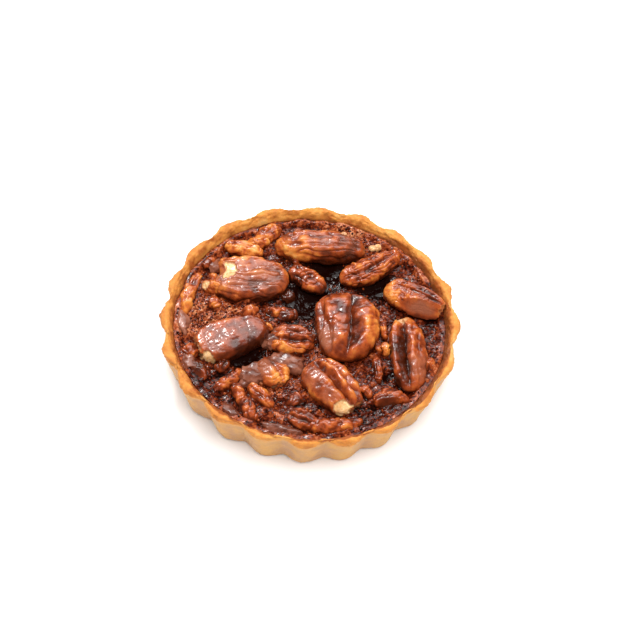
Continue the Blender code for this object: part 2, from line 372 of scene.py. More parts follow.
def alongProfile(corners, counts):
    # a smooth polyline through (radius, height) corners, with the given number of steps on each leg
    steps = [np.linspace(k, k + 1, count, endpoint=False) for k, count in enumerate(counts)]
    steps = np.append(np.concatenate(steps), len(counts))
    corners = np.array(corners, float)
    line = np.stack([np.interp(steps, np.arange(len(corners)), corners[:, k]) for k in (0, 1)], axis=1)
    for _ in range(3):
        line[1:-1] = 0.5 * line[1:-1] + 0.25 * (line[:-2] + line[2:])
    return line


def crustProfile(look):
    # from the middle of the underside, up the outside, over the lip and in along the floor, with the rows
    # at which the outer wall and the outer side of the lip end
    lip = look["rimRadius"] - look["innerRadius"]
    top, rim, inner = look["rimHeight"], look["rimRadius"], look["innerRadius"]
    foot, floor, floorRadius = look["foot"], look["floor"], look["floorRadius"]
    corners = ((0, 0), (look["baseRadius"] - foot, 0), (look["baseRadius"], foot),
               (rim - look["neckInset"], top - look["outerNeck"]), (rim, top - look["outerShoulder"]),
               (inner + 0.8 * lip, top - 0.3), (inner + 0.4 * lip, top), (inner, top - look["innerShoulder"]),
               (inner - 0.9, top - look["innerNeck"]), (floorRadius + 1.6, floor + 1.5),
               (floorRadius, floor), (0, floor))
    counts = (10, 4, 26, 8, 7, 5, 6, 7, 14, 4, 8)
    return alongProfile(corners, counts), sum(counts[:3]), sum(counts[:6])


def crustColour(look, angle, radius, height, onLip, ripple, rows, spot, wallEnd, lipEnd):
    # bake: browner on the lip's outer crests and inner edge, pale on the wall, and paled along the lip's
    # outer edge as a painted highlight; stain: syrup climbing the inner wall to a wandering line
    lip = look["rimRadius"] - look["innerRadius"]
    top, rim, inner = look["rimHeight"], look["rimRadius"], look["innerRadius"]
    outside = rows <= wallEnd
    bakeAndHighlight = 0.30 + 0.26 * onLip + 0.10 * ripple + 0.16 * spot
    bakeAndHighlight = bakeAndHighlight - 0.16 * outside * (1 - smoothStep(top - 4.5, top - 2.5, height))
    innerEdge = onLip * smoothStep(inner + 0.7 * lip, inner, radius)
    innerEdge = innerEdge * smoothStep(-0.5, 0.6, spot) * (0.7 - 0.5 * np.sin(angle))
    bakeAndHighlight = bakeAndHighlight + 0.28 * innerEdge + 0.14 * onLip * (0.5 - 0.5 * np.cos(angle))
    # the lip's outer edge is paled here as a painted highlight
    bakeAndHighlight = bakeAndHighlight - 0.16 * onLip * smoothStep(rim - 0.4, rim + 0.8, radius)
    bakeAndHighlight = bakeAndHighlight + 0.25 * outside * (1 - smoothStep(0.3, 2.2, height))
    insideWall = (rows >= lipEnd) * (radius > look["floorRadius"] - 1)
    line = look["syrupLine"] + 0.9 * np.cos(angle + radians(10)) - 0.9 * np.sin(angle)
    line = line + 1.1 * noise(inPlane(np.cos(angle) * 7, np.sin(angle) * 7), 55)
    stain = insideWall * (1 - smoothStep(line - 0.2, line + 0.9, height + 0.5 * spot))
    stain = np.where(radius < look["floorRadius"], 0, stain)
    bakeAndHighlight = bakeAndHighlight + 0.5 * insideWall * (1 - smoothStep(line, line + 2.2, height))
    return dict(bakeAndHighlight=bakeAndHighlight, stain=stain)


def makeCrust(look):
    # the profile carried round the axis; the outer side follows the flutes, and noise makes it hand-pressed
    # and crumbly
    lip = look["rimRadius"] - look["innerRadius"]
    top, rim, inner = look["rimHeight"], look["rimRadius"], look["innerRadius"]
    profile, wallEnd, lipEnd = crustProfile(look)
    angle = np.linspace(0, 2 * np.pi, look["columns"], endpoint=False)[None, :]
    radius, height = (profile[:, k][:, None] + 0 * angle for k in (0, 1))
    rows = np.arange(len(profile))[:, None]
    # share of the flutes taken up: none inside, all of it on the outer wall
    level = np.interp(height, (0, look["floor"], top - look["innerShoulder"], top),
                      (look["floorRadius"], look["floorRadius"], inner, inner + 0.2 * lip))
    outer = np.interp(height, (0, top - look["outerNeck"]),
                      (look["baseRadius"] - look["foot"], rim - look["neckInset"]))
    share = smoothStep(level + 0.3, outer, radius) * (rows <= lipEnd)
    share = np.where(rows <= wallEnd, smoothStep(0.6, 1.0, radius / np.maximum(outer, 1)), share)
    share = share * (1 - 0.22 * smoothStep(top - 2.5, top, height))
    wave = fluteWave(look, angle)
    uneven = 0.25 * np.sin(2 * angle + 0.6) + 0.18 * np.sin(5 * angle + 2)
    shifted = radius + share * (look["flute"] * wave + uneven)
    shifted = shifted + (1 - share) * smoothStep(0, inner, radius) * frontShift(look, angle, height)
    lift = smoothStep(top - 3, top - 1, height) * look["rise"] * np.sin(3 * angle + 1)
    grid = np.stack((shifted * np.cos(angle), shifted * np.sin(angle), height + lift), axis=-1)
    normal = outward(grid)
    wall = smoothStep(30, 42, radius)
    onLip = smoothStep(top - 3.2, top - 1.2, height)
    dough = (0.20 + 0.16 * onLip) * layeredNoise(grid / 4.5, 3)
    dough = dough + (0.08 + 0.12 * onLip) * layeredNoise(grid / 1.7, 5)
    folds = 0.2 * onLip * creased(grid / np.array((3.6, 3.6, 2.4)), 13)
    crumbly = (0.04 + 0.14 * onLip) * layeredNoise(grid / 0.8, 9, 2) + folds - 0.1 * onLip
    pits = pebbles(grid / np.array((1.9, 1.9, 1.6)), 21)
    pitted = -0.28 * (pits[1] > 0.82) * np.exp(-(pits[0] / 0.22) ** 2)
    sag = 0.35 * onLip * noise(inPlane(angle * 9 + 0 * radius, 0 * radius), 31)
    grid = grid + normal * (wall * (dough + crumbly + pitted))[..., None]
    grid[..., 2] += wall * sag * 0.5
    spot = layeredNoise(grid / 4.0, 41)
    colours = crustColour(look, angle, radius, height, onLip, wave * share, rows, spot, wallEnd, lipEnd)
    made = closedSurface("fluted_crust", grid, colours, bakedCrust)
    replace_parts(made, "crust")


makeCrust(crustLook)
print("crust made")


twoFurrows = ((67.5, 0.30, 15), (112.5, 0.30, 15))
# heading, roll and pitch in degrees; furrows as section angle, depth and width; ridges run along a nut and
# wrinkles across it, each as depth and spacing; pale and tints as along, section angle, reach, strength, the
# tints being the nut's own colour in places and painted shade where they darken the sides facing the front;
# facets as the way a flat face looks, its turn and rise, and how deep it cuts; veils are dull films of syrup
# with a painted pinkish sheen, given as pale is; flat presses the dome down to that share; brokenFront and
# brokenRear snap an end off and say how pale it is, where 0 only lengthens the nut; longer and wider are
# millimetres past the solid; a fragment may be bare on top and is small, with fewer points
pecanLooks = {
    "pecan_back": dict(heading=2, roll=-8, furrows=((64, 0.12, 10), (116, 0.14, 12)), ridges=(0.42, 2.6),
                       wrinkles=(0.14, 4.4), tone=0.52, flat=0.85, seed=1,
                       tintsAndShade=((-0.75, 170, 5, 0.24), (-0.25, 172, 4, 0.2), (0.55, 172, 8, -0.25)),
                       veilsAndSheens=((-0.6, 105, 5, 0.3), (0.0, 100, 6, 0.45), (0.6, 95, 6, 0.45))),
    "pecan_left": dict(heading=4, furrows=((75, 0.07, 12), (115, 0.08, 12)), ridges=(0.30, 2.1),
                       wrinkles=(0.12, 4.0), tone=0.56, flat=0.72, notch=3.4, seed=2,
                       pale=((-0.55, 78, 3.4, 1.0), (-0.97, 120, 2.0, 0.8)),
                       tintsAndShade=((-0.2, -5, 7, 0.2), (0.0, 178, 8, -0.24), (0.6, 178, 7, -0.2)),
                       veilsAndSheens=((-0.4, 95, 9, 0.65), (0.4, 95, 9, 0.6))),
    "pecan_front_left": dict(heading=28, longer=2.6, wider=2.2, taper=0.16, furrows=(), ridges=(0.05, 3.4),
                             wrinkles=(0.12, 5.0), lumps=0.18, tone=0.46, flat=0.62, brokenRear=0.25, seed=3,
                             pale=((-0.84, 172, 3.2, 1.0),),
                             tintsAndShade=((0.1, 175, 8, -0.32), (0.7, 175, 7, -0.25)),
                             veilsAndSheens=((-0.5, 90, 8, 0.35), (0.3, 90, 5, 0.2))),
    "pecan_centre": dict(heading=-86, furrows=((72, 0.62, 12, 14), (140, 0.14, 10, -8)), ridges=(0.20, 4.0),
                         wrinkles=(0.20, 3.4), tone=0.43, tintsAndShade=((0, 15, 8, 0.26), (-0.2, 110, 7, -0.12)),
                         veilsAndSheens=((0.5, 145, 5.5, 1.0), (-0.5, 60, 3.5, 0.5)), taper=0.1, bend=-1.0, seed=4),
    "pecan_front": dict(heading=-48, furrows=((86, 0.62, 10, 6), (48, 0.3, 10)), ridges=(0.12, 3.2),
                        wrinkles=(0.14, 3.0), tone=0.53, brokenFront=0.1, seed=5,
                        pale=((0.82, 140, 3.4, 1.0),), veilsAndSheens=((-0.4, 125, 5, 0.5), (0.3, 125, 4, 0.5))),
    "pecan_front_end": dict(heading=-22, furrows=twoFurrows, ridges=(0.2, 1.8), wrinkles=(0.25, 2.0),
                            tone=0.5, seed=6, small=True),
    "pecan_front_rim": dict(heading=18, furrows=(), ridges=(0.15, 1.8), wrinkles=(0.4, 1.8), tone=0.55,
                            bend=0.8, seed=7, small=True),
    "pecan_right_back": dict(heading=-25, pitch=-3, furrows=((72, 0.28, 10), (50, 0.2, 9)),
                             ridges=(0.26, 1.9), wrinkles=(0.22, 2.2), tone=0.50, brokenFront=0.15, seed=8,
                             facets=((-70, 40, 2.0),), tintsAndShade=((-0.8, 110, 5, 0.35),),
                             veilsAndSheens=((0.4, 168, 6, 0.9),)),
    "pecan_far_right": dict(heading=36, furrows=((100, 0.25, 14),), ridges=(0.3, 1.7), wrinkles=(0.3, 2.4),
                            tone=0.5, bend=0.8, taper=0.16, seed=9),
    "pecan_centre_back": dict(heading=-36, furrows=((75, 0.25, 14),), ridges=(0.2, 2.0), wrinkles=(0.35, 2.2),
                              tone=0.42, seed=10),
    "pecan_right": dict(heading=-83, furrows=((114, 0.80, 17),), ridges=(0.16, 3.0), wrinkles=(0.12, 3.2),
                        tone=0.41, taper=0.02, seed=11, pale=((-0.92, 110, 2.4, 0.55),),
                        tintsAndShade=((-0.95, 120, 4.5, 0.5), (0.1, 150, 6, -0.1)),
                        veilsAndSheens=((0.5, 60, 7, 0.6),)),
    "pecan_centre_left": dict(heading=-2, furrows=((60, 0.25, 11), (105, 0.35, 11)), ridges=(0.3, 1.9),
                              wrinkles=(0.18, 2.4), tone=0.46, brokenFront=0.0, seed=12,
                              tintsAndShade=((-0.3, 170, 4, 0.35),)),
    "pecan_bit_left": dict(heading=60, furrows=(), ridges=(0.15, 1.5), wrinkles=(0.3, 1.8), tone=0.52,
                           seed=13, small=True),
    "pecan_bit_middle": dict(heading=8, furrows=(), ridges=(0.15, 1.5), wrinkles=(0.3, 1.8), tone=0.42,
                             seed=14, small=True),
    "pecan_knob_left": dict(heading=40, furrows=(), ridges=(0.15, 1.6), wrinkles=(0.3, 1.8), tone=0.48,
                            seed=15, small=True),
    "pecan_flake_left": dict(heading=-56, furrows=(), ridges=(0.1, 1.6), wrinkles=(0.15, 2.0), tone=0.30,
                             seed=16, small=True, facets=((-60, 60, 0.9),)),
    "pecan_strip_left": dict(heading=46, furrows=(), ridges=(0.15, 1.5), wrinkles=(0.35, 1.6), tone=0.48,
                             seed=17, small=True),
    "pecan_chunk_front": dict(heading=-58, furrows=((70, 0.3, 14),), ridges=(0.2, 2.6), wrinkles=(0.2, 2.8),
                              tone=0.42, brokenFront=0.1, seed=18, facets=((140, 60, 1.2),),
                              tintsAndShade=((0.5, 60, 3.5, 0.5),), veilsAndSheens=((-0.3, 120, 5, 0.9),)),
    "pecan_slip_front": dict(heading=-42, furrows=(), ridges=(0.3, 1.4), wrinkles=(0.2, 2.0), tone=0.52,
                             seed=19, small=True),
    "pecan_strip_front": dict(heading=-60, furrows=(), ridges=(0.15, 1.4), wrinkles=(0.4, 1.5), tone=0.46,
                              seed=20, small=True),
    "pecan_bit_front": dict(heading=20, furrows=(), ridges=(0.2, 1.4), wrinkles=(0.3, 1.7), tone=0.45,
                            seed=21, small=True),
    "pecan_strip_rim": dict(heading=79, furrows=(), ridges=(0.2, 1.5), wrinkles=(0.35, 1.7), tone=0.6,
                            bend=-1.0, seed=22, small=True, tintsAndShade=((-0.9, 90, 4, 0.25),)),
    "pecan_bit_rim": dict(heading=52, furrows=(), ridges=(0.15, 1.4), wrinkles=(0.3, 1.6), tone=0.5, seed=23,
                          small=True),
    "pecan_back_left": dict(heading=46, furrows=((90, 0.2, 14),), ridges=(0.25, 1.5), wrinkles=(0.3, 1.8),
                            tone=0.58, seed=24, small=True),
    "pecan_slip_back": dict(heading=-12, furrows=((90, 0.2, 14),), ridges=(0.3, 1.8), wrinkles=(0.3, 1.8),
                            tone=0.74, seed=25, small=True),
    "pecan_shard_right": dict(heading=-82, furrows=(), ridges=(0.2, 1.4), wrinkles=(0.35, 1.6), tone=0.42,
                              seed=26, small=True),
    "pecan_arch_right": dict(heading=2, furrows=(), ridges=(0.2, 1.4), wrinkles=(0.35, 1.7), tone=0.46,
                             bend=-2.0, seed=27, small=True),
}


def nodePoints(name):
    # a node's corners in millimetres
    mesh = nodes[name].data
    flat = np.empty(len(mesh.vertices) * 3)
    mesh.vertices.foreach_get("co", flat)
    return flat.reshape(-1, 3) / mm


def waysOf(heading):
    # the unit steps ahead and to the left of a heading
    turn = radians(heading)
    return np.array((cos(turn), sin(turn), 0)), np.array((-sin(turn), cos(turn), 0))


def standAt(place, shape):
    # a shape's points, given ahead, left and up of a place's centre, as points of the scene
    return (place["centre"] + shape[..., :1] * place["ahead"] + shape[..., 1:2] * place["left"]
            + shape[..., 2:] * np.array((0, 0, 1)))


def placeOf(name, heading, longer=0, wider=0):
    # centre and half sizes of a node, measured along and across its heading, with its lowest and highest
    # level; a nut can run a little further at its rear, and be a little wider
    points = nodePoints(name)
    ahead, left = waysOf(heading)
    spans = [(points @ way).min() for way in (ahead, left)], [(points @ way).max() for way in (ahead, left)]
    low, high = np.array(spans)
    low, high = low - (longer, wider / 2), high + (0, wider / 2)
    middle = (low + high) / 2
    return dict(centre=ahead * middle[0] + left * middle[1], ahead=ahead, left=left,
                half=(high - low) / 2, bottom=points[:, 2].min(), top=points[:, 2].max())


domeShare = 0.62  # of a nut's thickness, above its middle
brokenAt = 0.86  # share of the way to a tip where a nut snaps


def distanceTo(body, shape, at, angle):
    # how far each point of the shape lies from the one at this share along the nut and this section angle
    row, column = np.abs(body["along"][:, 0] - at).argmin(), np.abs(body["degrees"][0] - angle).argmin()
    return np.linalg.norm(shape - shape[row, column], axis=-1)


def pecanBody(look, place):
    # a blunt oval outline, (1 - |along|^2.4)^(1/2.4), carries a squared-off dome section; furrows draw the
    # section in at their angles, and flat presses the dome down
    rows, columns = (48, 56) if look.get("small") else (120, 144)
    along = -np.cos(np.pi * np.linspace(0, 1, rows))[:, None]
    section = 2 * np.pi * np.linspace(0, 1, columns, endpoint=False)[None, :] + 0 * along
    along = along + 0 * section
    degrees = np.degrees(np.where(section > np.pi, section - 2 * np.pi, section))
    outline = np.clip(1 - np.abs(along) ** 2.4, 0, 1) ** (1 / 2.4)
    up = np.sign(np.sin(section)) * np.abs(np.sin(section)) ** 0.62
    thickness = place["top"] - place["bottom"]
    halfLength, halfWidth = place["half"]
    reach = halfLength * (2 / (1 + brokenAt) if "brokenFront" in look or "brokenRear" in look else 1)
    drawn = np.ones_like(along)
    wander = 7 * noise(inPlane(along * 1.6, 0 * along), look["seed"] + 70)
    for angle, depth, width, *slant in look["furrows"]:
        line = angle + wander + sum(slant) * along
        drawn = drawn - depth * np.exp(-((degrees - line) / width) ** 2) * (1 - along ** 4)
    waver = 1 + 0.07 * noise(inPlane(along * 2.2, np.sign(np.cos(section))), look["seed"] + 90)
    x = reach * along
    y = halfWidth * (1 - look.get("taper", 0.08) * along) * outline * np.cos(section) * drawn * waver
    z = thickness * np.where(up > 0, domeShare, 1 - domeShare) * outline * up * drawn
    if "flat" in look:
        ceiling = thickness * domeShare * look["flat"]
        z = np.where(z > ceiling, ceiling + (z - ceiling) * 0.25, z) / mix(1, look["flat"], 0.75)
        z = np.minimum(z, thickness * domeShare)
    return np.stack((x, y, z), axis=-1), dict(along=along, degrees=degrees, up=up, drawn=drawn, reach=reach)


def cutFacets(shape, facets):
    # presses what stands past each facet's plane almost flat, and marks where
    smooth = np.zeros(shape.shape[:-1])
    for turn, rise, depth in facets:
        way = np.array((cos(radians(turn)) * cos(radians(rise)), sin(radians(turn)) * cos(radians(rise)),
                        sin(radians(rise))))
        past = shape @ way - ((shape @ way).max() - depth)
        shape = shape - 0.94 * np.maximum(past, 0)[..., None] * way
        smooth = np.maximum(smooth, smoothStep(0.0, 0.5, past))
    return shape, smooth


def pecanRelief(look, body, shape, smooth, away):
    # creased noise stretched along the nut makes ridges, and stretched across it wrinkles; lumps and a fine
    # grain are added, and all of it is weaker at the tips and on facets
    ridgeDepth, ridgeSpacing = look["ridges"]
    wrinkleDepth, wrinkleSpacing = look["wrinkles"]
    bend = noise(shape / 5 + away, 11)[..., None] * np.array((0.3, 1.0, 1.0)) * 1.2
    ridges = creased((shape + bend + away) / (ridgeSpacing * np.array((7, 1, 1.6))), look["seed"])
    wrinkles = creased((shape + 2.2 * bend[..., ::-1] + away) / (wrinkleSpacing * np.array((1, 2.8, 2.8))),
                       look["seed"] + 40)
    lumps = layeredNoise(shape / 3.4 + away, look["seed"] + 60, 2)
    fine = layeredNoise(shape / 0.9 + away, look["seed"] + 80, 2)
    relief = ridgeDepth * (ridges - 0.2) * smoothStep(-0.5, 0.3, body["up"]) + wrinkleDepth * (wrinkles - 0.2)
    relief = relief + look.get("lumps", 0.34) * lumps + 0.06 * fine
    return relief * (1 - 0.65 * np.abs(body["along"]) ** 6) * (1 - 0.8 * smooth), lumps, fine


def breakEnds(look, body, shape, pale, away):
    # past a jagged limit at a broken end the nut is pressed almost flat, and the break is pale
    jagged = 0.8 * layeredNoise(shape * np.array((0.0, 1, 1)) / 1.6 + away, look["seed"] + 95, 2)
    for end, side in (("brokenRear", -1), ("brokenFront", 1)):
        if look.get(end):
            limit = brokenAt * body["reach"] + jagged
            cut = side * shape[..., 0] - limit
            pale = np.maximum(pale, look[end] * smoothStep(-0.1, 0.3, cut))
            shape[..., 0] = np.where(cut > 0, side * (limit + 0.12 * cut), shape[..., 0])
    return pale


def pecanColour(look, body, shape, relief, lumps, fine):
    # tone: darker down the sides, in hollows and in furrows, all of it painted shade, with tints fading round
    # their spots, those on the sides facing the front painted shade too; veil: the cover of dull syrup with a
    # painted pinkish sheen, on the top only
    hollow = np.clip(-relief / 0.5, 0, 1)
    furrowed = np.clip((1 - body["drawn"]) / 0.4, 0, 1)
    side = 1 - smoothStep(-0.2, 0.55, body["up"])
    # the sides, the hollows and the furrows are darkened here as painted shade
    tone = look["tone"] - 0.24 * side + 0.22 * lumps + 0.18 * np.clip(relief, 0, 1) - 0.26 * hollow
    tone = tone - 0.32 * furrowed
    # tints that darken the sides facing the front are painted shade
    for at, angle, size, strength in look.get("tintsAndShade", ()):
        tone = tone + strength * np.exp(-(distanceTo(body, shape, at, angle) / size) ** 2)
    # veil: a dull syrup film, with a painted pinkish sheen, on the tops only
    veilAndSheen = np.zeros_like(tone)
    for at, angle, size, strength in look.get("veilsAndSheens", ()):
        distance = distanceTo(body, shape, at, angle) + 1.2 * lumps + 0.5 * fine
        veilAndSheen = np.maximum(veilAndSheen, strength * smoothStep(size, 0.4 * size, distance))
    return tone, veilAndSheen * (1 - 0.7 * hollow) * (1 - furrowed) * smoothStep(0.1, 0.6, body["up"])


def pecanGrid(look, place):
    # the body with its facets, moved along its normals by the relief, then its broken ends, notch and bend
    away = np.array((look["seed"] * 7.3, look["seed"] * 3.1, look["seed"] * 5.7))
    shape, body = pecanBody(look, place)
    shape, smooth = cutFacets(shape, look.get("facets", ()))
    relief, lumps, fine = pecanRelief(look, body, shape, smooth, away)
    pale = np.zeros_like(relief)
    for at, angle, size, strength in look.get("pale", ()):
        distance = distanceTo(body, shape, at, angle) + 0.5 * fine + 0.7 * lumps
        inside = smoothStep(size, size - 0.5, distance)
        pale = np.maximum(pale, strength * inside)
        relief = relief - 0.45 * inside
    shape = shape + outward(shape) * relief[..., None]
    pale = np.maximum(pale, look.get("bare", 0) * smoothStep(-0.3, 0.3, body["up"]))
    pale = breakEnds(look, body, shape, pale, away)
    if "notch" in look:
        bite = np.exp(-((shape[..., 1] - 0.2 * place["half"][1]) / 3) ** 2)
        shape[..., 0] += look["notch"] * bite * smoothStep(0.45, 0.9, -body["along"])
    shape[..., 1] += look.get("bend", 0) * body["along"] ** 2
    tone, veilAndSheen = pecanColour(look, body, shape, relief, lumps, fine)
    return shape, tone, dict(pale=pale, veilAndSheen=veilAndSheen)


def layPecan(name, look, place):
    # rolls and pitches the nut, turns it to its heading and centres it on its place, its top at the place's
    # top; it is darker where it sinks into the syrup
    shape, tone, cover = pecanGrid(look, place)
    roll, pitch = radians(look.get("roll", 0)), radians(look.get("pitch", 0))
    tilt = np.array(Matrix.Rotation(pitch, 3, "Y") @ Matrix.Rotation(roll, 3, "X"))
    shape = shape @ tilt.T
    low, high = shape.reshape(-1, 3).min(axis=0), shape.reshape(-1, 3).max(axis=0)
    shape[..., :2] -= ((low + high) / 2)[:2]
    shape[..., 2] += place["top"] - high[2]
    grid = standAt(place, shape)
    sunk = 1 - smoothStep(12.5, 15.5, grid[..., 2])
    cover["pale"] = cover["pale"] * smoothStep(12.2, 13.6, grid[..., 2])
    made = closedSurface("glazed_" + name, grid, dict(tone=tone - 0.35 * sunk, **cover), glazedPecan)
    return made


places = {}
for name, look in pecanLooks.items():
    places[name] = placeOf(name, look["heading"], look.get("longer", 0), look.get("wider", 0))
    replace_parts(layPecan(name, look, places[name]), name)
print("pecans made:", len(places))

# crumbs and slivers lying on the syrup: place, top, then length, width and thickness
commonCrumb = dict(furrows=(), ridges=(0.2, 1.4), wrinkles=(0.25, 1.5), small=True, lumps=0.5)
crumbLooks = {
    "crumb_back_right": dict(at=(19.9, 34.0), top=14.9, size=(4.4, 2.8, 2.6), heading=8, tone=0.75,
                             bare=0.75, seed=31),
    "crumb_back": dict(at=(8.8, 38.5), top=14.8, size=(2.6, 2.2, 2.0), heading=40, tone=0.7, bare=0.5,
                       seed=32),
    "chip_right": dict(at=(25.0, -8.0), top=15.6, size=(5.2, 3.0, 3.6), heading=-80, tone=0.66, seed=33),
    "bit_centre": dict(at=(-14.0, -4.0), top=15.6, size=(4.4, 3.2, 3.4), heading=25, tone=0.68, seed=34),
    "bit_hollow": dict(at=(-8.6, 11.6), top=13.6, size=(6.4, 5.2, 4.0), heading=15, tone=0.22, seed=35),
    "bit_back": dict(at=(-7.5, 26.0), top=15.4, size=(6.0, 3.0, 3.6), heading=-50, tone=0.45, seed=36),
    "bit_far_left": dict(at=(-33.5, 15.0), top=15.2, size=(4.6, 3.4, 3.4), heading=70, tone=0.5, seed=37),
    "bit_left": dict(at=(-31.8, 5.2), top=15.0, size=(5.6, 4.6, 3.6), heading=-20, tone=0.5, seed=38),
    "sliver_right": dict(at=(24.2, -1.0), top=15.6, size=(6.6, 2.6, 3.4), heading=-72, tone=0.5, seed=39),
    "sliver_front_right": dict(at=(19.0, -24.5), top=15.2, size=(7.0, 3.0, 3.2), heading=-40, tone=0.42,
                               seed=40),
    "sliver_front_left": dict(at=(-20.4, -29.8), top=15.7, size=(9.6, 4.2, 3.8), heading=-62, tone=0.45,
                              seed=41),
    "sliver_front_rim": dict(at=(8.2, -39.2), top=16.5, size=(13.0, 5.6, 5.2), heading=8, tone=0.5, seed=45,
                             wrinkles=(0.35, 1.9), lumps=0.3),
    "bit_front_right": dict(at=(26.6, -27.2), top=16.0, size=(9.4, 5.4, 4.4), heading=10, tone=0.34, seed=46,
                            lumps=0.3, facets=((-90, 35, 1.2), (60, 40, 0.8))),
    "bit_middle_left": dict(at=(-12.4, 4.0), top=15.0, size=(6.4, 4.8, 4.0), heading=-10, tone=0.52, seed=47),
    "tip_left": dict(at=(-32.2, 11.2), top=17.0, size=(9.0, 5.0, 4.6), heading=8, tone=0.58, seed=48,
                     pale=((-0.8, 90, 1.8, 0.9),)),
    "bit_slip_back": dict(at=(-19.6, 31.6), top=16.4, size=(7.6, 5.4, 4.6), heading=30, tone=0.66, seed=49),
    "bit_flake": dict(at=(-26.6, -19.0), top=14.9, size=(6.0, 4.0, 3.4), heading=60, tone=0.36, seed=50),
    "bit_right": dict(at=(22.6, -7.0), top=15.0, size=(6.0, 3.2, 3.2), heading=-85, tone=0.48, seed=61),
    "bit_right_rim": dict(at=(39.3, -12.5), top=15.4, size=(5.6, 3.0, 3.2), heading=70, tone=0.5, seed=42),
    "bit_back_right": dict(at=(27.5, 30.0), top=14.8, size=(5.2, 3.4, 3.0), heading=-40, tone=0.45, seed=43),
    "bit_middle_front": dict(at=(-4.2, -16.0), top=14.9, size=(5.4, 3.8, 3.4), heading=20, tone=0.38,
                             seed=44),
}


def placeAt(look):
    # the same for a piece that has no node, from its own look
    ahead, left = waysOf(look["heading"])
    return dict(centre=np.array((*look["at"], 0)), ahead=ahead, left=left,
                half=np.array(look["size"][:2]) / 2, top=look["top"], bottom=look["top"] - look["size"][2])


for name, look in crumbLooks.items():
    places[name] = placeAt(look)
    layPecan(name, {**commonCrumb, **look}, places[name])
print("crumbs made:", len(crumbLooks))


# hollows as place, reach and depth; grainy and dark patches as place and reach
fillingLook = dict(level=13.0, floor=3.55, edge=43.45, floorRadius=39.6, columns=600,
                   hollows=(((-2, 10.5), 8, 2.4), ((4.5, 25), 7, 1.6), ((21.5, 18), 6, 1.8),
                            ((-19, -14), 6.5, 1.6), ((30, -17), 4, 1.0)),
                   grainy=((-32, -1, 10), (10, 38, 7), (-12, -24, 5)),
                   dark=((22, -33, 10), (-31, -27, 7), (38, 2, 6)))


def nutDistance(x, y, place):
    # roughly how far a point lies outside a nut's oval outline; negative inside it
    across = x - place["centre"][0], y - place["centre"][1]
    ahead = (across[0] * place["ahead"][0] + across[1] * place["ahead"][1]) / place["half"][0]
    left = (across[0] * place["left"][0] + across[1] * place["left"][1]) / place["half"][1]
    return (np.hypot(ahead, left) - 1) * min(place["half"])


def makeFilling(look):
    # a disc of set syrup: sunk between the nuts, drawn up where it meets them and the crust, pebbled with
    # bubbles; returns its points and how likely a blister is to stand at each
    edge, level, floor = look["edge"], look["level"], look["floor"]
    under = alongProfile(((0, floor), (look["floorRadius"], floor), (41.4, 5.3), (edge, level)), (8, 4, 8))
    inward = edge * (1 - np.linspace(0, 1, 132)[1:])
    radius = np.concatenate((under[:, 0], inward))[:, None]
    height = np.concatenate((under[:, 1], np.full(len(inward), level)))[:, None]
    angle = np.linspace(0, 2 * np.pi, look["columns"], endpoint=False)[None, :]
    radius, height = radius + 0 * angle, height + 0 * angle
    onTop = (np.arange(len(radius)) >= len(under) - 1)[:, None]
    radius = radius * (1 + (frontShift(crustLook, angle, height) + 0.8) / edge)
    x, y = radius * np.cos(angle), radius * np.sin(angle)
    relief = 0.3 * np.sin(0.42 * x + 0.8) * np.cos(0.37 * y - 0.3) + 0.2 * np.sin(0.9 * x - 0.7 * y)
    deep = np.zeros_like(relief)
    for (across, back), reach, depth in look["hollows"]:
        deep = deep + depth * mound(x, y, across, back, reach)
    relief = relief - 0.35 - 1.25 * deep
    drawnUp = np.zeros_like(relief)
    for place in places.values():
        gap = np.maximum(nutDistance(x, y, place), 0)
        drawnUp = np.maximum(drawnUp, np.exp(-gap / 0.9))
    atWall = smoothStep(edge - 2.6, edge, radius)
    flat = inPlane(x, y)
    grainy = np.zeros_like(relief)
    for spot in look["grainy"]:
        grainy = np.maximum(grainy, mound(x, y, *spot))
    big, bigOwn = pebbles(flat / 1.9 + 0.12 * noise(flat / 1.1, 5)[..., None], 61)
    small, smallOwn = pebbles(flat / 0.95, 67)
    bubble = 0.75 * (bigOwn - 0.25) * np.sqrt(np.clip(0.42 - big ** 2, 0, 1)) * 2
    bubble = bubble + 0.42 * (smallOwn - 0.2) * np.sqrt(np.clip(0.4 - small ** 2, 0, 1)) * 2
    lumps = layeredNoise(flat / 4.2, 71)
    texture = 0.55 * lumps + bubble * (0.55 + 0.75 * grainy) + 0.16 * layeredNoise(flat / 0.7, 73, 2)
    texture = texture * (1 - 0.7 * smoothStep(0.6, 2.0, deep))
    inside = 1 - smoothStep(0.97 * edge, edge, radius)
    relief = relief + texture * (0.25 + 0.75 * inside) + 0.55 * drawnUp + 1.3 * atWall
    height = height + onTop * relief
    # darker in the hollows between the nuts: painted shade
    crumb = 0.28 + 0.26 * lumps + 0.36 * bubble * (0.7 + 0.5 * grainy) + 0.32 * grainy - 0.50 * deep
    for spot in look["dark"]:
        crumb = crumb - 0.2 * mound(x, y, *spot)
    crumb = crumb - 0.12 * drawnUp + 0.12 * atWall
    grid = np.stack((x, y, height), axis=-1)
    made = closedSurface("syrup_filling", grid, dict(crumb=crumb), setSyrup)
    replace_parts(made, "filling")
    clear = onTop * (drawnUp < 0.75) * (radius < edge) * (deep < 1.0)
    return grid.reshape(-1, 3), (clear * radius * (0.25 + grainy)).ravel()


surface, chance = makeFilling(fillingLook)
print("filling made")

bubbleLook = dict(count=1500, smallest=0.18, largest=0.55, rows=7, columns=8, seed=5)


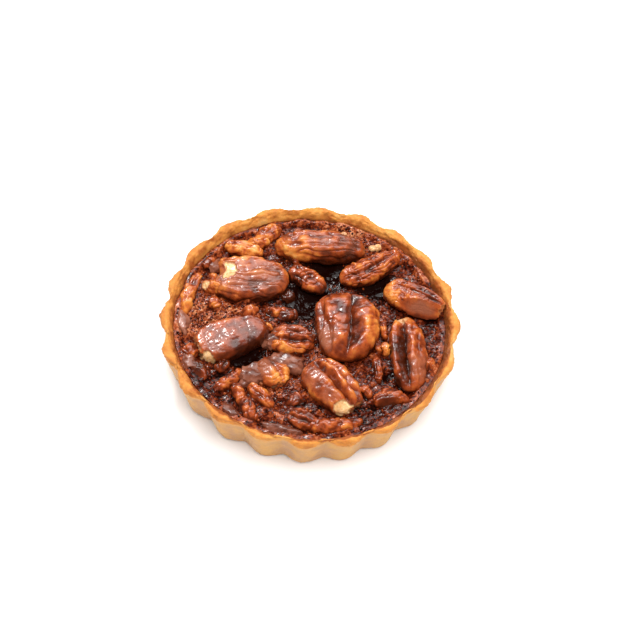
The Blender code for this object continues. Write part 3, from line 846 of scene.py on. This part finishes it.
def makeBubbles(look, surface, chance):
    # small round blisters: one unit ball of few faces, scaled and set half sunk at drawn points of the syrup
    draw = np.random.default_rng(look["seed"])
    count = look["count"]
    at = surface[draw.choice(len(surface), count, replace=False, p=chance / chance.sum())]
    reach = mix(look["smallest"], look["largest"], draw.random(count) ** 2)
    rise = np.linspace(-np.pi / 2, np.pi / 2, look["rows"])[:, None]
    turn = np.linspace(0, 2 * np.pi, look["columns"], endpoint=False)[None, :]
    ball = polesLast(np.stack((np.cos(rise) * np.cos(turn), np.cos(rise) * np.sin(turn),
                               np.sin(rise) + 0 * turn), axis=-1))
    squash = np.stack((np.ones(count), np.ones(count), 0.5 + 0.5 * draw.random(count)), axis=-1)
    points = at[:, None] + reach[:, None, None] * ball[None] * squash[:, None]
    quads, fans = closedFaces(look["rows"], look["columns"])
    step = np.arange(count)[:, None, None] * len(ball)
    faces = (quads + step).reshape(-1, 4).tolist() + (fans + step).reshape(-1, 3).tolist()
    crumb = np.repeat(mix(0.05, 0.5, draw.random(count))[:, None], len(ball), axis=1)
    made = putInScene("syrup_bubbles", points.reshape(-1, 3), faces, dict(crumb=crumb), setSyrup)


makeBubbles(bubbleLook, surface, chance)
print("bubbles made")

# smooth pools of syrup over the pieces: place, top, then length, width and thickness, heading
filmLooks = {
    "film_front_left": dict(at=(-16.6, -22.4), top=15.7, size=(11.0, 7.6, 3.4), heading=40, seed=51),
    "film_front": dict(at=(-6.4, -16.2), top=15.5, size=(11.0, 7.0, 3.6), heading=-20, seed=52),
    "film_left_rim": dict(at=(-41.2, -3.5), top=14.9, size=(9.0, 4.0, 3.0), heading=-75, tone=1.0, seed=53),
    "film_flake": dict(at=(-37.4, -19.0), top=15.0, size=(9.6, 5.8, 3.4), heading=-56, seed=54),
    "film_centre": dict(at=(-11.6, -7.4), top=15.2, size=(8.6, 5.8, 3.4), heading=60, seed=55),
    "film_left_back": dict(at=(-31.8, 20.6), top=15.2, size=(7.6, 5.4, 3.4), heading=20, seed=57),
    "film_front_rim": dict(at=(-6.4, -41.4), top=14.8, size=(15.0, 3.4, 3.0), heading=-10, seed=58),
    "film_front_edge": dict(at=(-22.0, -36.6), top=14.6, size=(9.0, 4.2, 3.0), heading=-30, seed=59),
}


def makeFilm(name, look):
    # a blunt oval puddle with a softly uneven top: a squashed ball whose outline and height follow noise
    place = placeAt(look)
    rows, columns = 40, 48
    rise = np.linspace(-np.pi / 2, np.pi / 2, rows)[:, None]
    turn = np.linspace(0, 2 * np.pi, columns, endpoint=False)[None, :]
    flat = np.cos(rise) ** 0.9
    ball = np.stack((flat * np.cos(turn), flat * np.sin(turn), np.sin(rise) + 0 * turn), axis=-1)
    shape = ball * np.array((*place["half"], look["size"][2] / 2))
    away = look["seed"] * np.array((3.7, 1.9, 5.3))
    spreading = 1 + 0.45 * layeredNoise(shape * np.array((1, 1, 0.2)) / 2.8 + away, look["seed"])
    shape[..., :2] *= spreading[..., None]
    swell = 0.45 * noise(shape / 3.2 + away, look["seed"] + 3)
    shape[..., 2] += swell + 0.1 * noise(shape / 1.2, look["seed"])
    shape[..., 2] += look["top"] - shape[..., 2].max()
    grid = standAt(place, shape)
    crumb = look.get("tone", 0.5) + 0.6 * layeredNoise(grid / 3.0, look["seed"] + 9)
    closedSurface(name, grid, dict(crumb=crumb), smoothSyrup)


for name, look in filmLooks.items():
    makeFilm(name, look)
print("smooth syrup made")


floorLook = dict(side=3.0, drop=0.0002)


def makeFloor(look):
    # one flat square just under the tartlet, near white
    half = look["side"] / 2
    mesh = bpy.data.meshes.new("floor")
    corners = [(-half, -half, -look["drop"]), (half, -half, -look["drop"]), (half, half, -look["drop"]),
               (-half, half, -look["drop"])]
    mesh.from_pydata(corners, [], [(0, 1, 2, 3)])
    n = Nodes("paleFloor")
    n.fixed(Base_Color=(0.93, 0.93, 0.93, 1), Roughness=0.8, Specular_IOR_Level=0.2)
    mesh.materials.append(n.material)
    made = bpy.data.objects.new("floor", mesh)
    bpy.context.scene.collection.objects.link(made)


def softLight(name, at, size, watts, shiny=True):
    # a rectangle of light turned towards the origin, seen in reflections only if shiny
    lamp = bpy.data.lights.new(name, "AREA")
    lamp.shape = "RECTANGLE"
    lamp.size, lamp.size_y = size
    lamp.energy = watts
    shown = bpy.data.objects.new(name, lamp)
    shown.location = at
    shown.rotation_euler = (-Vector(at)).to_track_quat("-Z", "Y").to_euler()
    shown.visible_glossy = shiny
    bpy.context.scene.collection.objects.link(shown)


def lightScene():
    # the room's strength is 0.46, or 0.05 in reflections so that syrup stays dark between highlights, and
    # 0.5 more where the camera sees it directly
    world = bpy.data.worlds.new("studio")
    world.use_nodes = True
    tree = world.node_tree
    background = tree.nodes["Background"]
    background.inputs["Color"].default_value = (1, 1, 1, 1)
    ray = tree.nodes.new("ShaderNodeLightPath")
    total = tree.nodes.new("ShaderNodeMath")
    for socket, seen, most in ((0, "Is Glossy Ray", (0.46, 0.05)), (1, "Is Camera Ray", (0.0, 0.5))):
        dim = tree.nodes.new("ShaderNodeMapRange")
        dim.inputs["To Min"].default_value, dim.inputs["To Max"].default_value = most
        tree.links.new(ray.outputs[seen], dim.inputs["Value"])
        tree.links.new(dim.outputs["Result"], total.inputs[socket])
    tree.links.new(total.outputs[0], background.inputs["Strength"])
    bpy.context.scene.world = world
    softLight("fromBehind", (-0.05, 0.42, 0.55), (0.75, 0.50), 3.4)
    softLight("sparkle", (-0.22, 0.40, 0.60), (0.12, 0.12), 1.6)
    softLight("fromFront", (0.10, -0.22, 0.85), (0.8, 0.6), 8.5, shiny=False)
    bpy.context.scene.view_settings.view_transform = "Standard"


makeFloor(floorLook)
lightScene()
print("floor and lights made")
